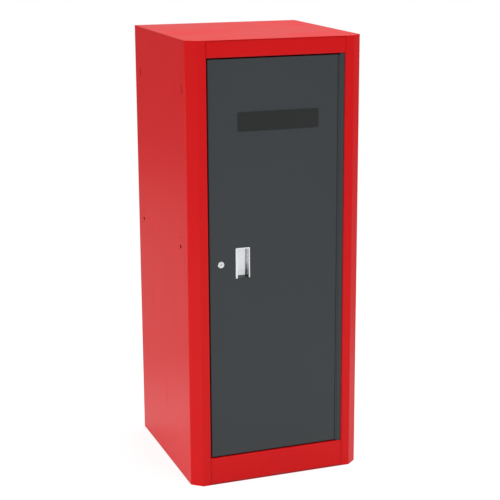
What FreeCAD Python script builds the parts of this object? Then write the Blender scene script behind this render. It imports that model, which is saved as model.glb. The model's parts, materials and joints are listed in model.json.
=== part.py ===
import FreeCAD, Part

import math
import os

# Tool chest side locker: a tall folded-sheet steel cabinet with one inset door.
# Millimetres. X runs to the right as the door is faced, Y runs from the door to
# the back, Z is up. The origin is the centre of the footprint, on the floor.

Vector = FreeCAD.Vector
TINY = 1e-6

# ---------------------------------------------------------------- cabinet body
WIDTH = 430.0
DEPTH = 438.0
HEIGHT = 1066.0
SHEET = 1.2                     # wall of the cabinet's sheet steel
BEND = 3.0                      # inner radius of the cabinet's outer folds
BRACKET_BEND = 0.0              # inner radius of folds on the pieces inside
CHAMFER_SIDE = 21.7             # how much of the side the corner chamfer takes
CHAMFER_FRONT = 24.8            # how much of the front the corner chamfer takes
POST_FACE = 45.4                # from the outer side to the door opening
JAMB_DEPTH = 24.3               # post face to the front of the door stop
STOP_LIP = 10.0                 # width of the door stop along the jamb
BACK_FLANGE = 18.0
SIDE_FLANGE = 16.0              # folded in at the side's top and bottom edge
FLANGE_RELIEF = 21.0            # end of a side flange to the cabinet's back
CORNER_RELIEF = 3.0             # start of a side flange behind the chamfer
BACK_FOLD = 16.8                # folded forward at the back's top and bottom

TOP_RAIL = 40.3                 # visible height above the door opening
BOTTOM_RAIL = 66.8              # height of the door sill
RAIL_RECESS = 1.4               # rail face behind the post face
RAIL_LIFT = 1.0                 # bottom rail above the floor
HEAD_DEPTH = 37.5               # post face to the back of the head flange
HEAD_LIP = 10.0
RAIL_FOLD = 14.6                # rail flange under the top, and at the floor

FLOOR_SKIRT = 25.0              # edges of the floor pan, folded down
FLOOR_NOTCH = 1.5               # floor pan to the back of the posts
FOLD_RELIEF = 4.6               # bare corner between two folded edges
FOLD_LAND = 5.0                 # flat part of a folded edge strip
STIFFENER_TOP = 60.0            # floor stiffener: width of its web
STIFFENER_FOOT = 16.0
STIFFENER_DEPTH = 18.0
STIFFENER_END = 6.0             # its end to the floor pan's skirt

# ------------------------------------------------------- holes in both sides
KNOCKOUT_RADIUS = 9.5
KNOCKOUT_RISE = 0.7             # half-sheared blank, proud of the side
KNOCKOUT_FRONT = 53.0           # from the front face
KNOCKOUT_REAR = 39.0            # from the back face
KNOCKOUT_DROP = 114.0           # below the top
BOLT_RADIUS = 4.8
PILOT_RADIUS = 2.3
BOLT_FRONT = 72.0               # from the front face
BOLT_REAR = 49.0                # from the back face
BOLT_HEIGHT = 581.0
PILOT_ABOVE = 21.4              # small hole above the large one

# ------------------------------------------------------------ shelves, standards
STANDARD_WEB = 20.0
STANDARD_RISE = 7.0             # web above the side wall
STANDARD_SHEET = 1.2
STANDARD_FRONT = 99.0           # centre line from the front face
STANDARD_REAR = 99.0            # centre line from the back face
STANDARD_BOTTOM = 73.0
STANDARD_TOP_GAP = 8.0
SLOT_FIRST = 22.0               # first slot above the standard's foot
SLOT_PITCH = 50.8
SLOT_WIDTH = 11.0
SLOT_HEIGHT = 8.0
LOWER_SLOT_COUNT = 6            # slots below the lower shelf's clips
UPPER_SLOT_COUNT = 12           # slots below the upper shelf's clips
CLIP_SHEET = 1.5
CLIP_WIDTH = 9.6
CLIP_LEDGE = 15.0
CLIP_LEG = 11.0
CLIP_NECK_DROP = 3.0            # hook's neck below the ledge's top
CLIP_SLACK = 0.1                # clip hook behind the standard's web
CLIP_HOOK = 6.0                 # hook's drop behind the web
SHELF_SHEET = 1.0
SHELF_GAP = 1.8                 # shelf edge to a standard
SHELF_FRONT = 44.0              # shelf edge behind the post face
SHELF_BACK = 6.0                # shelf edge to the back panel
SHELF_NOSE = 22.0
SHELF_NOSE_LIP = 9.0
SHELF_TAIL = 14.0
SHELF_CHEEK = 10.0

# -------------------------------------------------------------------- the door
DOOR_RECESS = 4.0               # door face behind the post face
DOOR_THICK = 18.0
DOOR_SHEET = 1.2
DOOR_BEND = 0.8
DOOR_GAP_FREE = 3.1
DOOR_GAP_TOP = 3.0
DOOR_GAP_SILL = 3.0
DOOR_RETURN = 13.0
HAT_WEB = 46.0                  # upright stiffener inside the door
HAT_FOOT = 14.0
HAT_DEPTH = 14.0
HAT_OFFSET = 48.0               # its centre line, from the middle of the cabinet
HAT_END = 0.5
BUMPER_WIDTH = 6.4
BUMPER_HEIGHT = 14.0
BUMPER_GAP = 0.3
BUMPER_COUNT = 3
BUMPER_END = 48.0               # end bumpers from the opening's ends

BADGE_WIDTH = 199.4
BADGE_HEIGHT = 44.6
BADGE_THICK = 0.9
BADGE_CORNER = 5.0
BADGE_OFFSET = 4.1              # from the middle of the cabinet
BADGE_CENTRE = 187.3            # below the top
BADGE_EDGE = 0.35

# ------------------------------------------------------------------ piano hinge
STILE_WIDTH = 12.6
STILE_BEND = 0.2
STILE_END_GAP = 0.5
STILE_BACK_GAP = 0.3            # stile's legs to the fold of the door stop
PIN_RADIUS = 1.03
LEAF_SHEET = 0.9
KNUCKLE_CLEAR = 0.07            # pin to knuckle, all round
LEAF_DEPTH = 14.0               # pin centre to the leaf's back edge
PIN_SETBACK = 0.7               # pin centre behind the door face
KNUCKLE_COUNT = 13
KNUCKLE_GAP = 0.3
CURL_END = 105.0                # where the rolled curl stops, in degrees
LEAF_NOTCH = 0.9                # notch edge to the other leaf's knuckle
HINGE_END_GAP = 1.3             # leaf end to the door's end

# ------------------------------------------------------------- flush pull, lock
PULL_OFFSET = 81.4              # its centre, from the door's free edge
FITTINGS_HEIGHT = 546.2         # centre of the pull and of the lock
PULL_WIDTH = 35.4
PULL_HEIGHT = 73.2
PULL_FLANGE = 1.5
PULL_FLANGE_EDGE = 0.6
PULL_FLANGE_CORNER = 1.6
PULL_OVERLAP = 1.2              # flange beyond the cup's outside
PULL_WALL = 1.2
PULL_DEPTH = 26.0
PULL_CORNER = 2.8               # inside the cup
PULL_GRIP = 4.4                 # flange leg that the fingers hook behind
PULL_SIDE = 3.2
PULL_TOP = 2.6
PULL_LEG_DROP = 0.9             # legs of the flange below the pocket's floor
PULL_FIT = 0.3                  # cup to the door's cut-out
RETAINER_RIM = 6.0
RETAINER_SHEET = 1.0
RETAINER_FIT = 0.1
RETAINER_CORNER = 4.0

LOCK_OFFSET = 27.6              # its centre, from the door's free edge
LOCK_HEAD_RADIUS = 7.95
LOCK_HEAD = 2.2
LOCK_HEAD_EDGE = 0.7
LOCK_BODY_RADIUS = 6.0
LOCK_HOLE_FIT = 0.15
PLUG_RADIUS = 4.5
PLUG_CLEAR = 0.05
PLUG_SINK = 0.3                 # plug face below the lock's head
KEYWAY_WIDTH = 1.3
KEYWAY_LENGTH = 6.4
KEYWAY_DEPTH = 9.0
KEYWAY_TILT = 45.0
NUT_FLATS = 16.0
NUT_THICK = 4.0
CAM_SHEET = 2.0
CAM_WIDTH = 12.0
CAM_REACH = 27.0                # lock centre to the cam's tip
CAM_GAP = 0.8                   # cam to the back of the door stop
CAM_SQUARE = 5.6
CAM_SQUARE_FIT = 0.05
PLUG_END_GAP = 0.2              # lock body's end to the cam
CAM_SCREW_RADIUS = 2.0
CAM_SCREW_LENGTH = 9.0
CAM_SCREW_HEAD_RADIUS = 4.4
CAM_SCREW_HEAD = 2.2

# --------------------------------------------------------------- magnetic catch
CATCH_CENTRE = -48.0
CATCH_WIDTH = 30.0
CATCH_EAR = 8.0
CATCH_EAR_THICK = 3.0
CATCH_HEIGHT = 14.0
CATCH_DEPTH = 12.0
CATCH_MAGNET_WIDTH = 20.0
CATCH_MAGNET_HEIGHT = 3.0
CATCH_POLE = 1.2
CATCH_POLE_PROUD = 0.5
CATCH_AIR = 0.3                 # poles to the strike plate
STRIKE_SHEET = 1.0
STRIKE_WIDTH = 34.0
STRIKE_HEIGHT = 10.0
STRIKE_DROP = 1.4               # below the door's top edge
CATCH_SCREW_HEAD_RADIUS = 2.8
CATCH_SCREW_HEAD = 1.6

# ---------------------------------------------------------------- worked out
HALF_WIDTH = WIDTH / 2.0
FRONT = -DEPTH / 2.0
BACK = DEPTH / 2.0
ROOF_UNDER = HEIGHT - SHEET
JAMB = HALF_WIDTH - POST_FACE
STOP_FRONT = FRONT + JAMB_DEPTH
STOP_BACK = STOP_FRONT + SHEET
WALL_INNER = HALF_WIDTH - SHEET
BACK_INNER = BACK - 2.0 * SHEET
HEAD = HEIGHT - TOP_RAIL
SILL = BOTTOM_RAIL
RAIL_FRONT = FRONT + RAIL_RECESS
FLOOR_TOP = SILL - SHEET
DOOR_FACE = FRONT + DOOR_RECESS
DOOR_BACK = DOOR_FACE + DOOR_THICK
DOOR_INNER = DOOR_FACE + DOOR_SHEET
DOOR_OUTER_BEND = DOOR_BEND + DOOR_SHEET
KNUCKLE_BORE = PIN_RADIUS + KNUCKLE_CLEAR
KNUCKLE_RADIUS = KNUCKLE_BORE + LEAF_SHEET
STILE_LEFT = JAMB - STILE_WIDTH
PIN_X = STILE_LEFT - KNUCKLE_RADIUS
PIN_Y = DOOR_FACE + PIN_SETBACK
DOOR_LEFT = -JAMB + DOOR_GAP_FREE
DOOR_RIGHT = PIN_X - KNUCKLE_RADIUS
PULL_CENTRE = DOOR_LEFT + PULL_OFFSET
LOCK_CENTRE = DOOR_LEFT + LOCK_OFFSET
DOOR_BOTTOM = SILL + DOOR_GAP_SILL
DOOR_TOP = HEAD - DOOR_GAP_TOP
STANDARD_FACE = WALL_INNER - STANDARD_RISE
STANDARD_TOP = ROOF_UNDER - STANDARD_TOP_GAP
FRONT_STANDARD_Y = FRONT + STANDARD_FRONT
REAR_STANDARD_Y = BACK - STANDARD_REAR
CAM_FRONT = STOP_BACK + CAM_GAP
CAM_BACK = CAM_FRONT + CAM_SHEET
LOCK_BODY_END = CAM_FRONT - PLUG_END_GAP
PLUG_FRONT = DOOR_FACE - LOCK_HEAD + PLUG_SINK
BADGE_Z = HEIGHT - BADGE_CENTRE


# ---------------------------------------------------------------- shape helpers
def box(x0, x1, y0, y1, z0, z1):
    """Box between two corners."""
    return Part.makeBox(x1 - x0, y1 - y0, z1 - z0, Vector(x0, y0, z0))


def rod(radius, start, direction, length):
    """Cylinder from a point along a direction."""
    return Part.makeCylinder(radius, length, Vector(*start), Vector(*direction))


def fused(shapes):
    """One solid from shapes that touch or overlap."""
    shapes = list(shapes)
    whole = shapes[0].fuse(shapes[1:]) if len(shapes) > 1 else shapes[0]
    return whole.removeSplitter()


def prism(points, z0, z1):
    """Upright prism on a closed outline of (x, y) points."""
    corners = [Vector(x, y, z0) for x, y in points]
    face = Part.Face(Part.makePolygon(corners + corners[:1]))
    return face.extrude(Vector(0, 0, z1 - z0))


def section_xy(height):
    """Maps a section's (u, v) to a level plane."""
    return lambda u, v: Vector(u, v, height)


def section_yz(x):
    """Maps a section's (u, v) to an upright plane across X."""
    return lambda u, v: Vector(x, u, v)


def section_edge(start, outward):
    """Maps (u, v) to the plane across an edge: u outward, v up."""
    return lambda u, v: start + outward * u + Vector(0, 0, v)


def step(a, b):
    """Unit direction from one (u, v) point to the next."""
    length = math.hypot(b[0] - a[0], b[1] - a[1])
    return ((b[0] - a[0]) / length, (b[1] - a[1]) / length)


def shifted(point, direction, distance):
    """Point moved along a direction."""
    return (point[0] + direction[0] * distance, point[1] + direction[1] * distance)


def left_of(direction):
    """Direction turned a quarter to the left."""
    return (-direction[1], direction[0])


def folded_sheet(points, sheet, bend, place, along):
    """Folded sheet: its outline is a path with rounded folds, and the sheet's
    thickness lies to the left of the path. The section is swept along a vector.
    A bend of zero leaves the fold's inside corner sharp."""
    near = []
    far = []
    near_end = points[0]
    heading = step(points[0], points[1])
    far_end = shifted(near_end, left_of(heading), sheet)
    for i in range(1, len(points) - 1):
        following = step(points[i], points[i + 1])
        cross = heading[0] * following[1] - heading[1] * following[0]
        dot = heading[0] * following[0] + heading[1] * following[1]
        turn = math.atan2(cross, dot)
        near_radius = bend + sheet if turn > 0 else bend
        far_radius = bend if turn > 0 else bend + sheet
        setback = near_radius * math.tan(abs(turn) / 2.0)
        arc_start = shifted(points[i], heading, -setback)
        arc_end = shifted(points[i], following, setback)
        side = 1.0 if turn > 0 else -1.0
        centre = shifted(arc_start, left_of(heading), side * near_radius)
        outward = step(following, heading)
        near.append(("line", near_end, arc_start))
        near.append(("arc", arc_start, shifted(centre, outward, near_radius), arc_end))
        far_start = shifted(arc_start, left_of(heading), sheet)
        far_stop = shifted(arc_end, left_of(following), sheet)
        far.append(("line", far_end, far_start))
        far.append(("arc", far_start, shifted(centre, outward, far_radius), far_stop))
        near_end = arc_end
        far_end = far_stop
        heading = following
    last = points[-1]
    far_last = shifted(last, left_of(heading), sheet)
    near.append(("line", near_end, last))
    far.append(("line", far_end, far_last))
    outline = near + [("line", last, far_last)]
    outline += [(kind, *reversed(ends)) for kind, *ends in reversed(far)]
    outline.append(("line", outline[-1][-1], points[0]))
    edges = []
    for kind, *ends in outline:
        corners = [place(*end) for end in ends]
        if corners[0].distanceToPoint(corners[-1]) < TINY:
            continue
        edges.append(Part.Arc(*corners).toShape() if kind == "arc" else Part.makeLine(*corners))
    return Part.Face(Part.Wire(edges)).extrude(along)


def folded_edge(start, end, drop, sheet, bend, lip=0.0):
    """Strip along a plate's edge, seen from above with the plate to the left
    of start-to-end: folded down by drop, and back under the plate by lip."""
    start = Vector(*start)
    end = Vector(*end)
    run = end - start
    outward = Vector(run.y, -run.x, 0).normalize()
    path = [(0.0, -drop), (0.0, 0.0), (-FOLD_LAND, 0.0)]
    if lip:
        path.insert(0, (-lip, -drop))
    return folded_sheet(path, sheet, bend, section_edge(start, outward), run)


def rounded_panel(x0, x1, y0, y1, z0, z1, corner):
    """Plate facing -Y with rounded corners."""
    plate = box(x0, x1, y0, y1, z0, z1)
    corners = [e for e in plate.Edges if abs(e.Vertexes[0].Y - e.Vertexes[1].Y) > 0.5 * (y1 - y0)]
    return plate.makeFillet(corner, corners)


def bevelled(shape, y, edge):
    """Bevel round the end of a shape that lies in the plane at y."""
    rim = [e for e in shape.Edges if all(abs(v.Y - y) < TINY for v in e.Vertexes)]
    return shape.makeChamfer(edge, rim)


def mirrored(shape):
    """The same piece for the other side."""
    return shape.mirror(Vector(0, 0, 0), Vector(1, 0, 0))


# ------------------------------------------------------------------ the cabinet
def side_panel():
    """Left side: back flange, wall, corner chamfer, post face, jamb and door
    stop are one folded sheet, with flanges at the wall's top and bottom."""
    section = [
        (-HALF_WIDTH + BACK_FLANGE, BACK),
        (-HALF_WIDTH, BACK),
        (-HALF_WIDTH, FRONT + CHAMFER_SIDE),
        (-HALF_WIDTH + CHAMFER_FRONT, FRONT),
        (-JAMB, FRONT),
        (-JAMB, STOP_FRONT),
        (-JAMB + STOP_LIP, STOP_FRONT),
    ]
    panel = folded_sheet(section, SHEET, BEND, section_xy(0.0), Vector(0, 0, ROOF_UNDER))
    flange_front = FRONT + CHAMFER_SIDE + CORNER_RELIEF
    flange_back = BACK - FLANGE_RELIEF
    fold = BEND + SHEET
    cuts = []
    flanges = []
    for level, inward in ((0.0, 1.0), (ROOF_UNDER, -1.0)):
        low, high = sorted((level, level + inward * fold))
        cuts.append(box(-HALF_WIDTH - SHEET, -WALL_INNER + SHEET / 2.0, flange_front, flange_back,
                        low, high))
        path = [(-HALF_WIDTH, level + inward * fold), (-HALF_WIDTH, level),
                (-HALF_WIDTH + SIDE_FLANGE, level)]
        if inward < 0:
            path.reverse()
        flanges.append(folded_sheet(path, SHEET, BRACKET_BEND,
                                    lambda u, v: Vector(u, flange_front, v),
                                    Vector(0, flange_back - flange_front, 0)))
    # The door stop is notched away where the rails pass.
    lip_end = -JAMB + STOP_LIP + SHEET
    for low, high in ((0.0, SILL), (HEAD, ROOF_UNDER)):
        cuts.append(box(-JAMB, lip_end, FRONT + JAMB_DEPTH / 2.0, STOP_BACK + SHEET, low, high))
    panel = fused([panel.cut(cuts)] + flanges)
    return punched(panel)


def punched(panel):
    """Bolt holes, pilot holes and half-sheared knock-outs in the left wall."""
    outside = -HALF_WIDTH
    across = (1, 0, 0)
    holes = []
    for y in (FRONT + BOLT_FRONT, BACK - BOLT_REAR):
        holes.append(rod(BOLT_RADIUS, (outside - SHEET, y, BOLT_HEIGHT), across, 3.0 * SHEET))
        pilot = (outside - SHEET, y, BOLT_HEIGHT + PILOT_ABOVE)
        holes.append(rod(PILOT_RADIUS, pilot, across, 3.0 * SHEET))
    blanks = []
    for y in (FRONT + KNOCKOUT_FRONT, BACK - KNOCKOUT_REAR):
        z = HEIGHT - KNOCKOUT_DROP
        proud = (outside - KNOCKOUT_RISE, y, z)
        blanks.append(rod(KNOCKOUT_RADIUS, proud, across, SHEET))
        behind = (outside - KNOCKOUT_RISE + SHEET, y, z)
        holes.append(rod(KNOCKOUT_RADIUS, behind, across, SHEET + KNOCKOUT_RISE))
    return fused([panel.cut(holes)] + blanks)


def back_panel():
    """Flat back, folded forward along its top and bottom."""
    reach = HALF_WIDTH - SHEET - BEND
    outer = BACK - SHEET
    path = [(outer - BACK_FOLD, 0.0), (outer, 0.0), (outer, ROOF_UNDER),
            (outer - BACK_FOLD, ROOF_UNDER)]
    return folded_sheet(path, SHEET, BEND, section_yz(-reach), Vector(2.0 * reach, 0, 0))


def top_panel():
    """Roof plate that covers the chamfered outline."""
    outline = [
        (-HALF_WIDTH, BACK),
        (-HALF_WIDTH, FRONT + CHAMFER_SIDE),
        (-HALF_WIDTH + CHAMFER_FRONT, FRONT),
        (HALF_WIDTH - CHAMFER_FRONT, FRONT),
        (HALF_WIDTH, FRONT + CHAMFER_SIDE),
        (HALF_WIDTH, BACK),
    ]
    return prism(outline, ROOF_UNDER, HEIGHT)


def top_rail():
    """Channel over the door: its lower flange is the head of the opening."""
    path = [(RAIL_FRONT + RAIL_FOLD, ROOF_UNDER), (RAIL_FRONT, ROOF_UNDER), (RAIL_FRONT, HEAD),
            (FRONT + HEAD_DEPTH, HEAD), (FRONT + HEAD_DEPTH, HEAD + HEAD_LIP)]
    return folded_sheet(path, SHEET, BEND, section_yz(-JAMB), Vector(2.0 * JAMB, 0, 0))


def bottom_rail():
    """Kick rail under the door: its upper flange is the sill."""
    path = [(STOP_BACK, SILL), (RAIL_FRONT, SILL), (RAIL_FRONT, RAIL_LIFT),
            (RAIL_FRONT + RAIL_FOLD, RAIL_LIFT)]
    return folded_sheet(path, SHEET, BEND, section_yz(-JAMB), Vector(2.0 * JAMB, 0, 0))


def floor_pan():
    """Cabinet floor, notched round the posts, with its edges folded down."""
    front = RAIL_FRONT + SHEET
    notch = STOP_BACK + FLOOR_NOTCH
    under = FLOOR_TOP - SHEET
    plate = prism([
        (-JAMB, front + FOLD_LAND),
        (JAMB, front + FOLD_LAND),
        (JAMB, notch),
        (WALL_INNER - FOLD_LAND, notch),
        (WALL_INNER - FOLD_LAND, BACK_INNER - FOLD_LAND),
        (-WALL_INNER + FOLD_LAND, BACK_INNER - FOLD_LAND),
        (-WALL_INNER + FOLD_LAND, notch),
        (-JAMB, notch),
    ], under, FLOOR_TOP)
    side_start = notch + FOLD_RELIEF
    side_end = BACK_INNER - FOLD_RELIEF - FOLD_LAND
    across = JAMB - FOLD_RELIEF
    along = WALL_INNER - FOLD_RELIEF - FOLD_LAND
    runs = [
        ((-across, front, FLOOR_TOP), (across, front, FLOOR_TOP)),
        ((WALL_INNER, side_start, FLOOR_TOP), (WALL_INNER, side_end, FLOOR_TOP)),
        ((along, BACK_INNER, FLOOR_TOP), (-along, BACK_INNER, FLOOR_TOP)),
        ((-WALL_INNER, side_end, FLOOR_TOP), (-WALL_INNER, side_start, FLOOR_TOP)),
    ]
    edges = [folded_edge(start, end, FLOOR_SKIRT, SHEET, BEND) for start, end in runs]
    return fused([plate] + edges)


def floor_stiffener():
    """Hat channel across the underside of the floor."""
    top = FLOOR_TOP - SHEET
    half = STIFFENER_TOP / 2.0
    path = [(-half - STIFFENER_FOOT, top), (-half, top), (-half, top - STIFFENER_DEPTH),
            (half, top - STIFFENER_DEPTH), (half, top), (half + STIFFENER_FOOT, top)]
    path = [(u, v - SHEET) for u, v in path]
    reach = WALL_INNER - SHEET - STIFFENER_END
    return folded_sheet(path, SHEET, BRACKET_BEND, section_yz(-reach),
                        Vector(2.0 * reach, 0, 0))


# ------------------------------------------------------- standards and shelves
def slot_height(index):
    """Height of a slot's upper edge in the standards."""
    return STANDARD_BOTTOM + SLOT_FIRST + index * SLOT_PITCH


def shelf_standard(y):
    """Slotted channel with its legs on the left wall, centred at y."""
    half = STANDARD_WEB / 2.0
    web = -STANDARD_FACE
    path = [(-WALL_INNER, y - half), (web, y - half), (web, y + half), (-WALL_INNER, y + half)]
    upright = folded_sheet(path, STANDARD_SHEET, BRACKET_BEND, section_xy(STANDARD_BOTTOM),
                           Vector(0, 0, STANDARD_TOP - STANDARD_BOTTOM))
    slots = []
    index = 0
    while slot_height(index) < STANDARD_TOP - SLOT_FIRST:
        top = slot_height(index)
        slots.append(box(web - 2.0 * STANDARD_SHEET, web + STANDARD_SHEET,
                         y - SLOT_WIDTH / 2.0, y + SLOT_WIDTH / 2.0, top - SLOT_HEIGHT, top))
        index += 1
    return upright.cut(slots)


def shelf_clip(y, index):
    """Clip that hooks into a slot of a left standard and carries a shelf."""
    face = -STANDARD_FACE
    top = slot_height(index)
    start = y - CLIP_WIDTH / 2.0
    width = Vector(0, CLIP_WIDTH, 0)
    path = [(face + CLIP_LEDGE, top), (face, top), (face, top - CLIP_LEG - SLOT_HEIGHT)]
    ledge = folded_sheet(path, CLIP_SHEET, BRACKET_BEND, lambda u, v: Vector(u, start, v), width)
    behind = face - STANDARD_SHEET - CLIP_SLACK
    neck_high = top - CLIP_NECK_DROP
    neck_low = neck_high - CLIP_SHEET
    neck = box(behind, face + CLIP_SHEET / 2.0, start, start + CLIP_WIDTH, neck_low, neck_high)
    hook = box(behind - CLIP_SHEET, behind, start, start + CLIP_WIDTH,
               neck_high - CLIP_HOOK, neck_high)
    return fused([ledge, neck, hook])


def shelf_clips(index):
    """The four clips under one shelf."""
    left = [shelf_clip(y, index) for y in (FRONT_STANDARD_Y, REAR_STANDARD_Y)]
    return left + [mirrored(clip) for clip in left]


def shelf(index):
    """Loose shelf on four clips: nose with a hem, tail and two cheeks."""
    top = slot_height(index) + SHELF_CHEEK
    half = STANDARD_FACE - SHELF_GAP
    front = FRONT + SHELF_FRONT
    back = BACK_INNER - SHELF_BACK
    plate = box(-half + FOLD_LAND, half - FOLD_LAND, front + FOLD_LAND, back - FOLD_LAND,
                top - SHELF_SHEET, top)
    across = half - FOLD_RELIEF
    near = front + FOLD_RELIEF + FOLD_LAND
    far = back - FOLD_RELIEF - FOLD_LAND
    nose = folded_edge((-across, front, top), (across, front, top), SHELF_NOSE, SHELF_SHEET,
                       BRACKET_BEND, SHELF_NOSE_LIP)
    tail = folded_edge((across, back, top), (-across, back, top), SHELF_TAIL, SHELF_SHEET,
                       BRACKET_BEND)
    right = folded_edge((half, near, top), (half, far, top), SHELF_CHEEK, SHELF_SHEET, BRACKET_BEND)
    left = folded_edge((-half, far, top), (-half, near, top), SHELF_CHEEK, SHELF_SHEET,
                       BRACKET_BEND)
    return fused([plate, nose, tail, right, left])


# -------------------------------------------------------------------- the door
def door_pan(inset, bend):
    """Block of the door's outline, drawn in by inset on every side but the back,
    with the edges of its face rounded."""
    block = box(DOOR_LEFT + inset, DOOR_RIGHT - inset, DOOR_FACE + inset, DOOR_BACK - inset,
                DOOR_BOTTOM + inset, DOOR_TOP - inset)
    face = DOOR_FACE + inset
    rim = [e for e in block.Edges if all(abs(v.Y - face) < TINY for v in e.Vertexes)]
    return block.makeFillet(bend, rim)


def door_skin():
    """Door pan: face, four folded edges, their returns behind, and the pocket's tab."""
    skin = door_pan(0.0, DOOR_OUTER_BEND).cut(door_pan(DOOR_SHEET, DOOR_BEND))
    window = box(DOOR_LEFT + DOOR_RETURN, DOOR_RIGHT - DOOR_RETURN,
                 DOOR_BACK - 2.0 * DOOR_SHEET, DOOR_BACK + DOOR_SHEET,
                 DOOR_BOTTOM + DOOR_RETURN, DOOR_TOP - DOOR_RETURN)
    lock_hole = rod(LOCK_BODY_RADIUS + LOCK_HOLE_FIT, (LOCK_CENTRE, DOOR_FACE - DOOR_SHEET,
                    FITTINGS_HEIGHT), (0, 1, 0), 3.0 * DOOR_SHEET)
    x0, x1, _, z1 = pull_outline(PULL_OVERLAP - PULL_FIT)
    floor = pocket_floor()
    pull_hole = box(x0, x1, DOOR_FACE - DOOR_SHEET, DOOR_INNER + DOOR_SHEET,
                    floor - DOOR_OUTER_BEND, z1)
    # The cut-out's lower edge is folded inward and is the floor of the pull's pocket.
    path = [(DOOR_FACE - PULL_FLANGE + PULL_DEPTH, floor), (DOOR_FACE, floor),
            (DOOR_FACE, floor - 2.0 * DOOR_OUTER_BEND)]
    tab = folded_sheet(path, DOOR_SHEET, DOOR_BEND, section_yz(x0), Vector(x1 - x0, 0, 0))
    return fused([skin.cut([window, lock_hole, pull_hole]), tab])


def door_stiffener():
    """Upright hat channel against the back of the door's face."""
    base = DOOR_INNER + DOOR_SHEET
    crown = DOOR_INNER + HAT_DEPTH
    half = HAT_WEB / 2.0
    path = [(HAT_OFFSET - half - HAT_FOOT, base), (HAT_OFFSET - half, base),
            (HAT_OFFSET - half, crown), (HAT_OFFSET + half, crown),
            (HAT_OFFSET + half, base), (HAT_OFFSET + half + HAT_FOOT, base)]
    low = DOOR_BOTTOM + DOOR_SHEET + DOOR_BEND + HAT_END
    high = DOOR_TOP - DOOR_SHEET - DOOR_BEND - HAT_END
    return folded_sheet(path[::-1], DOOR_SHEET, BRACKET_BEND, section_xy(low),
                        Vector(0, 0, high - low))


def badge_plate():
    """Bare rounded plate on the door's face."""
    half_w = BADGE_WIDTH / 2.0
    half_h = BADGE_HEIGHT / 2.0
    front = DOOR_FACE - BADGE_THICK
    plate = rounded_panel(BADGE_OFFSET - half_w, BADGE_OFFSET + half_w, front, DOOR_FACE,
                          BADGE_Z - half_h, BADGE_Z + half_h, BADGE_CORNER)
    return bevelled(plate, front, BADGE_EDGE)


def door_bumpers():
    """Rubber pads on the free side's door stop."""
    right = -JAMB + STOP_LIP
    front = DOOR_BACK + BUMPER_GAP
    run = HEAD - SILL - 2.0 * BUMPER_END
    pads = []
    for i in range(BUMPER_COUNT):
        low = SILL + BUMPER_END + run * i / (BUMPER_COUNT - 1) - BUMPER_HEIGHT / 2.0
        pads.append(box(right - BUMPER_WIDTH, right, front, STOP_FRONT, low, low + BUMPER_HEIGHT))
    return pads


# -------------------------------------------------------------- the piano hinge
def hinge_stile():
    """Narrow upright channel that closes the opening beside the hinge."""
    back = STOP_FRONT - BEND - STILE_BACK_GAP
    path = [(STILE_LEFT, back), (STILE_LEFT, DOOR_FACE), (JAMB, DOOR_FACE), (JAMB, back)]
    low = SILL + STILE_END_GAP
    high = HEAD - STILE_END_GAP
    return folded_sheet(path, DOOR_SHEET, STILE_BEND, section_xy(low), Vector(0, 0, high - low))


def knuckle(low, high):
    """One rolled knuckle of the door's leaf, with its short piece of leaf."""
    root = PIN_Y + KNUCKLE_RADIUS + LEAF_NOTCH

    def around(radius, degrees):
        angle = math.radians(degrees)
        return Vector(PIN_X + radius * math.cos(angle), PIN_Y + radius * math.sin(angle), low)

    halfway = (180.0 + 360.0 + CURL_END) / 2.0
    outer = Part.Arc(around(KNUCKLE_RADIUS, 180.0), around(KNUCKLE_RADIUS, halfway),
                     around(KNUCKLE_RADIUS, CURL_END))
    inner = Part.Arc(around(KNUCKLE_BORE, CURL_END), around(KNUCKLE_BORE, halfway),
                     around(KNUCKLE_BORE, 180.0))
    outside = Vector(PIN_X - KNUCKLE_RADIUS, root, low)
    inside = Vector(PIN_X - KNUCKLE_BORE, root, low)
    edges = [
        Part.makeLine(outside, around(KNUCKLE_RADIUS, 180.0)),
        outer.toShape(),
        Part.makeLine(around(KNUCKLE_RADIUS, CURL_END), around(KNUCKLE_BORE, CURL_END)),
        inner.toShape(),
        Part.makeLine(around(KNUCKLE_BORE, 180.0), inside),
        Part.makeLine(inside, outside),
    ]
    return Part.Face(Part.Wire(edges)).extrude(Vector(0, 0, high - low))


def hinge_leaf(first):
    """Door-side leaf with every second knuckle, counted from first."""
    low = DOOR_BOTTOM + HINGE_END_GAP
    pitch = (DOOR_TOP - HINGE_END_GAP - low) / KNUCKLE_COUNT
    leaf = box(PIN_X - KNUCKLE_RADIUS, PIN_X - KNUCKLE_BORE,
               PIN_Y + KNUCKLE_RADIUS + LEAF_NOTCH, PIN_Y + LEAF_DEPTH,
               low, low + pitch * KNUCKLE_COUNT)
    half_gap = KNUCKLE_GAP / 2.0
    knuckles = [knuckle(low + i * pitch + half_gap, low + (i + 1) * pitch - half_gap)
                for i in range(first, KNUCKLE_COUNT, 2)]
    return fused([leaf] + knuckles)


def hinge_leaf_frame():
    """The same leaf turned over, welded to the stile."""
    leaf = hinge_leaf(0)
    return leaf.mirror(Vector(PIN_X, 0, 0), Vector(1, 0, 0))


def hinge_pin():
    """Plain pin through every knuckle."""
    low = DOOR_BOTTOM + HINGE_END_GAP
    high = DOOR_TOP - HINGE_END_GAP
    return rod(PIN_RADIUS, (PIN_X, PIN_Y, low), (0, 0, 1), high - low)


# -------------------------------------------------------------- the flush pull
def pull_outline(inset):
    """Pull's outline (x0, x1, z0, z1), drawn in by inset."""
    half_w = PULL_WIDTH / 2.0 - inset
    half_h = PULL_HEIGHT / 2.0 - inset
    return (PULL_CENTRE - half_w, PULL_CENTRE + half_w,
            FITTINGS_HEIGHT - half_h, FITTINGS_HEIGHT + half_h)


def pocket_floor():
    """Height of the pocket's floor, which is a tab of the door's face."""
    return FITTINGS_HEIGHT - PULL_HEIGHT / 2.0 + PULL_LEG_DROP


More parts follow.
